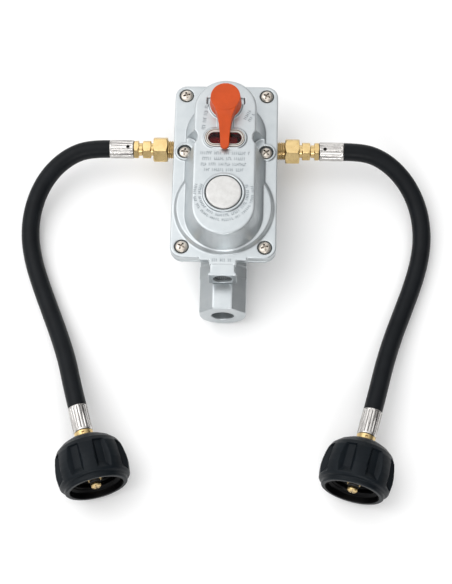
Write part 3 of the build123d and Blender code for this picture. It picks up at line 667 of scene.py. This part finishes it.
def cover_screws():
    """Six pan-head screws with cross recesses, as one piece like the CAD node."""
    seat = SCREW_SEAT
    crown = soft_outline([
        (0.02, seat + 2.4), (1.6, seat + 2.36), (3.0, seat + 2.1), (4.1, seat + 1.5), (4.65, seat + 0.7),
        (4.7, seat)], 0.25, 0.13, closed=False)
    shank = np.array([(2.0, seat), (2.0, 37.5), (1.4, 36.5), (0.02, 36.5)])
    outline = np.vstack([crown, shank])
    arm_half_width, arm_narrowing, arm_length = 0.8, 0.09, 2.75
    arm_depth, arm_rise = 2.0, 0.25
    centre_radius, centre_depth = 1.3, 2.2

    def crossed(radius, height, theta):
        """Sinks a cross with sloping walls and a deeper round centre into the crown."""
        x = radius * np.cos(theta)
        y = radius * np.sin(theta)
        across = np.minimum(np.abs(x), np.abs(y))
        along = np.maximum(np.abs(x), np.abs(y))
        open_side = np.clip((arm_half_width - arm_narrowing * along - across) / 0.12, 0, 1)
        open_end = np.clip((arm_length - along) / 0.35, 0, 1)
        centre = np.clip((centre_radius - radius) / 0.25, 0, 1)
        arms = open_side * open_end * (arm_depth - arm_rise * along)
        depth = np.maximum(arms, centre * centre_depth)
        return radius, height - np.where(height > seat + 1.0, depth, 0)

    head = lathe("cover_screw_head", outline, 120, crossed, closed=False)
    joined = bmesh.new()
    for x in (-SCREW_X, SCREW_X):
        for y in SCREW_ROWS:
            one = head.copy()
            # Each screw stopped at a turn of its own.
            turn = Matrix.Rotation(math.radians(17 * x + 31 * y), 4, "Z")
            one.transform(Matrix.Translation(Vector((x, y, 0)) * MM) @ turn)
            joined.from_mesh(one)
            bpy.data.meshes.remove(one)
    mesh = bpy.data.meshes.new("cover_screws_turned")
    joined.to_mesh(mesh)
    joined.free()
    bpy.data.meshes.remove(head)
    mesh.shade_smooth()
    mesh.set_sharp_from_angle(angle=math.radians(40))
    add_piece("cover_screws_turned", mesh, "cover_screws")


def window_bezel():
    """Obround ring round the window, with a groove in its rim and one inside that holds the lens."""
    width, tall = 29.2, 13.9
    end_steps = 40
    radius = tall / 2
    half = width / 2 - radius
    # Each corner of the ring's section: its inset from the outline, then its height.
    outline = soft_outline([
        (0, 71.4), (0, 74.3), (0.35, 74.8), (0.7, 74.85), (0.8, 74.1), (1.15, 74.1), (1.25, 74.8),
        (1.9, 74.6), (2.35, 73.35), (1.66, 73.35), (1.66, 72.05), (2.35, 72.05), (2.35, 71.4)], 0.3, 0.6)
    path = []
    for side in (1, -1):
        for k in range(end_steps + 1):
            turn = math.pi * (k / end_steps - 0.5) + (0 if side == 1 else math.pi)
            path.append((side * half, math.cos(turn), math.sin(turn)))
    points = []
    for inset, height in outline:
        for centre, across, up in path:
            reach = radius - inset
            points.append(Vector((centre + across * reach, WINDOW_Y + up * reach, height)) * MM)
    count = len(path)
    faces = []
    for row in range(len(outline)):
        after = (row + 1) % len(outline)
        for k in range(count):
            faces.append((row * count + k, row * count + (k + 1) % count,
                          after * count + (k + 1) % count, after * count + k))
    mesh = shaded_mesh("window_bezel_moulded", points, faces, 50)
    add_piece("window_bezel_moulded", mesh, "window_bezel")


adjuster_cap()
cover_screws()
window_bezel()


# ---- regulator-end fittings ----

def inlet_place(side):
    """Local frame of an inlet's fittings: +Z away from the regulator."""
    middle = Matrix.Translation(Vector((0, INLET_Y, INLET_Z)) * MM)
    return middle @ Matrix.Rotation(math.radians(side * 90), 4, "Y")


def ferrule(name, node, place, low, high, dimple_at=None):
    """Crimped sleeve with sixteen narrow grooves, and a round press mark on top at dimple_at."""
    outer = 7.2
    outline = soft_outline([
        (3.6, low), (6.7, low), (outer, low + 0.55), (outer, high - 0.7), (6.6, high), (3.6, high)],
        0.35, 0.25)
    grooves, groove_depth = 16, 0.42
    low_margin, high_margin, fade = 1.0, 1.4, 0.8
    dimple_radius, dimple_depth, dimple_wall = 1.3, 1.9, 0.3
    upwards = place.to_3x3().inverted() @ Vector((0, -0.14, 0.99))
    facing = math.atan2(upwards.y, upwards.x)

    def crimped(radius, height, theta):
        depth = groove_depth * (1 - np.abs(np.sin(grooves / 2 * theta))) ** 2
        from_low = np.clip((height - low - low_margin) / fade, 0, 1)
        from_high = np.clip((high - height - high_margin) / fade, 0, 1)
        radius = np.where(radius > 6.9, radius - depth * from_low * from_high, radius)
        if dimple_at is not None:
            off = np.mod(theta - facing + math.pi, 2 * math.pi) - math.pi
            span = np.hypot(off * outer, height - dimple_at)
            pressed = dimple_depth * np.clip((dimple_radius - span) / dimple_wall, 0, 1)
            radius = np.where(radius > 6.2, radius - pressed, radius)
        return radius, height

    add_piece(name, lathe(name, outline, 192, crimped), node, place)


def regulator_fittings(name, side):
    """Inlet adapter with a real pipe thread, flare nut, hose stem and ferrule of one side."""
    place = inlet_place(side)
    adapter_flats, nut_flats = 18.0, 13.0
    thread_pitch, thread_depth = 1.41, 0.78
    clear_of_bore, thread_end = 5.5, 45.0
    adapter = soft_outline([
        (3.2, 27.0), (6.2, 27.0), (6.75, 27.8), (6.95, 45.1), (9.0, 45.1), (10.3, 46.2), (10.3, 54.8),
        (9.0, 56.0), (5.0, 56.0), (5.0, 48.0), (3.2, 48.0)], 0.2, 0.2)
    nut = soft_outline([
        (4.0, 50.4), (4.9, 50.4), (4.9, 58.0), (6.5, 58.0), (7.45, 58.7), (7.45, 63.5), (6.5, 64.2),
        (4.0, 64.2)], 0.15, 0.4)
    stem = soft_outline([
        (2.2, 49.2), (3.9, 49.2), (3.9, 64.7), (4.9, 64.7), (4.9, 67.4), (6.5, 67.4), (7.45, 68.1),
        (7.45, 70.4), (6.5, 71.0), (3.6, 71.0), (3.6, 89.5), (2.2, 89.5)], 0.12, 0.4)

    def threaded(radius, height, theta):
        on_thread = (radius > clear_of_bore) & (height < thread_end)
        cut = thread_depth * (1 - thread_height(height, theta, thread_pitch))
        radius = np.where(on_thread, radius - cut, radius)
        return np.where(height > thread_end + 0.05, hexagon(radius, theta, adapter_flats), radius), height

    def small_hexagon(radius, height, theta):
        return hexagon(radius, theta, nut_flats), height

    for kind, mesh_name, outline, shape in (
            ("inlet_adapter", "adapter", adapter, threaded),
            ("flare_nut", "flare_nut", nut, small_hexagon),
            ("hose_stem", "hose_stem", stem, small_hexagon)):
        mesh = lathe(mesh_name, outline, 120, shape)
        add_piece(f"{kind}_{name}_turned", mesh, f"{kind}_{name}", place)
    ferrule(f"regulator_ferrule_{name}_crimped", f"regulator_ferrule_{name}", place, 71.2, 90.0,
            dimple_at=75.4)


# ---- cylinder-end fittings ----

def handwheel(name):
    """Hand nut: eight drafted recesses outside, a coarse right-hand thread inside."""
    length = 38.5
    rim = 22.7
    crown = 26.4
    thread_root, thread_pitch, thread_depth = 16.9, 4.23, 1.0
    # From the mouth round the inside to the back, and forwards along the outside.
    outline = soft_outline([
        (19.5, 0), (19.0, -4.6), (thread_root, -5.6), (thread_root, -24.0), (15.0, -25.0), (15.0, -31.5),
        (7.4, -31.5), (7.4, -length), (9.0, -length), (13.6, -length + 1.2), (18.2, -length + 3.8),
        (22.4, -length + 7.6), (24.4, -length + 11.6), (25.3, -length + 15.6), (26.1, -18.0),
        (crown, -13.5), (26.0, -9.0), (25.4, -5.0), (24.6, -3.9), (23.0, -3.3), (rim, -2.8),
        (rim, -0.7), (21.9, 0)], 0.35, 0.42)
    recess_angle = 2 * math.pi / 8
    phase = math.radians(21.0)
    # The recesses' floor, and how steeply each wall rises from its foot.
    floor_radius, floor_draft, floor_middle = 22.7, 0.03, -9.0
    side_foot, side_slope = 3.1 / 25.0, 25.0 * 1.5
    ramp_foot, ramp_slope = -10.0, 0.62
    back_foot, back_slope = -27.2, 2.2

    def gripped(radius, height, theta):
        off = np.mod(theta - phase + recess_angle / 2, recess_angle) - recess_angle / 2
        sides = np.clip(np.abs(off) - side_foot, 0, None) * side_slope
        ramp = np.clip(height - ramp_foot, 0, None) * ramp_slope
        back = np.clip(back_foot - height, 0, None) * back_slope
        drafted = floor_radius + floor_draft * (height - floor_middle)
        recessed = np.minimum(radius, drafted + np.maximum(np.maximum(sides, ramp), back))
        outside = (radius > 22.9) & (height < -3.6)
        inside = (np.abs(radius - thread_root) < 0.05) & (height < -5.9) & (height > -23.6)
        crest = radius - thread_depth * thread_height(height, theta, thread_pitch)
        return np.where(outside, recessed, np.where(inside, crest, radius)), height

    mesh = lathe("handwheel", outline, 480, gripped, sharp_degrees=24)
    add_piece(f"handwheel_{name}_moulded", mesh, f"handwheel_{name}", mouth_place(name))


def cylinder_fittings(name):
    handwheel(name)
    ferrule(f"tank_ferrule_{name}_crimped", f"tank_ferrule_{name}", mouth_place(name), HOSE_END, -43.3)


for name, side in SIDES.items():
    regulator_fittings(name, side)
    cylinder_fittings(name)


# ---- studio ----

def make_floor():
    mesh = bpy.data.meshes.new("floor")
    half = 6.0
    corners = [(-half, -half, 0), (half, -half, 0), (half, half, 0), (-half, half, 0)]
    mesh.from_pydata(corners, [], [(0, 1, 2, 3)])
    look = Look("floor_paint", (0.95, 0.95, 0.95), 0.6, Specular_IOR_Level=0.2)
    look.tint(look.noise(400.0, detail=2), (0.945, 0.945, 0.945), (0.96, 0.96, 0.96))
    mesh.materials.append(look.mat)
    floor = bpy.data.objects.new("floor", mesh)
    bpy.context.scene.collection.objects.link(floor)


LIGHTS_AIM = Vector((0, -0.05, 0))


def make_light(name, place, size, power):
    """A soft panel that faces the middle of the object; place and size in metres, power in watts."""
    data = bpy.data.lights.new(name, "AREA")
    data.shape = "RECTANGLE"
    data.size, data.size_y = size
    data.energy = power
    light = bpy.data.objects.new(name, data)
    light.location = place
    towards = LIGHTS_AIM - Vector(place)
    light.rotation_euler = towards.to_track_quat("-Z", "Y").to_euler()
    bpy.context.scene.collection.objects.link(light)


def make_world():
    """A pale room, brightest high up at the far left and dim near the horizon."""
    world = bpy.data.worlds.new("studio")
    world.use_nodes = True
    tree = world.node_tree
    background = tree.nodes["Background"]
    coords = tree.nodes.new("ShaderNodeTexCoord")
    towards = tree.nodes.new("ShaderNodeVectorMath")
    towards.operation = "DOT_PRODUCT"
    towards.inputs[1].default_value = Vector((-0.42, 0.12, 0.9)).normalized()
    ramp = tree.nodes.new("ShaderNodeMapRange")
    for key, value in (("From Min", 0.0), ("From Max", 1.0), ("To Min", 0.1), ("To Max", 1.45)):
        ramp.inputs[key].default_value = value
    tree.links.new(towards.inputs[0], coords.outputs["Generated"])
    tree.links.new(ramp.inputs["Value"], towards.outputs["Value"])
    tree.links.new(background.inputs["Strength"], ramp.outputs["Result"])
    background.inputs["Color"].default_value = (1, 1, 1, 1)
    bpy.context.scene.world = world


make_floor()
make_world()
make_light("key", (-0.9, 0.2, 1.6), size=(1.6, 1.6), power=9.0)
make_light("front", (0.1, -1.3, 0.75), size=(0.7, 0.5), power=6.0)
make_light("back", (0.0, 1.6, 0.4), size=(1.6, 0.5), power=3.0)
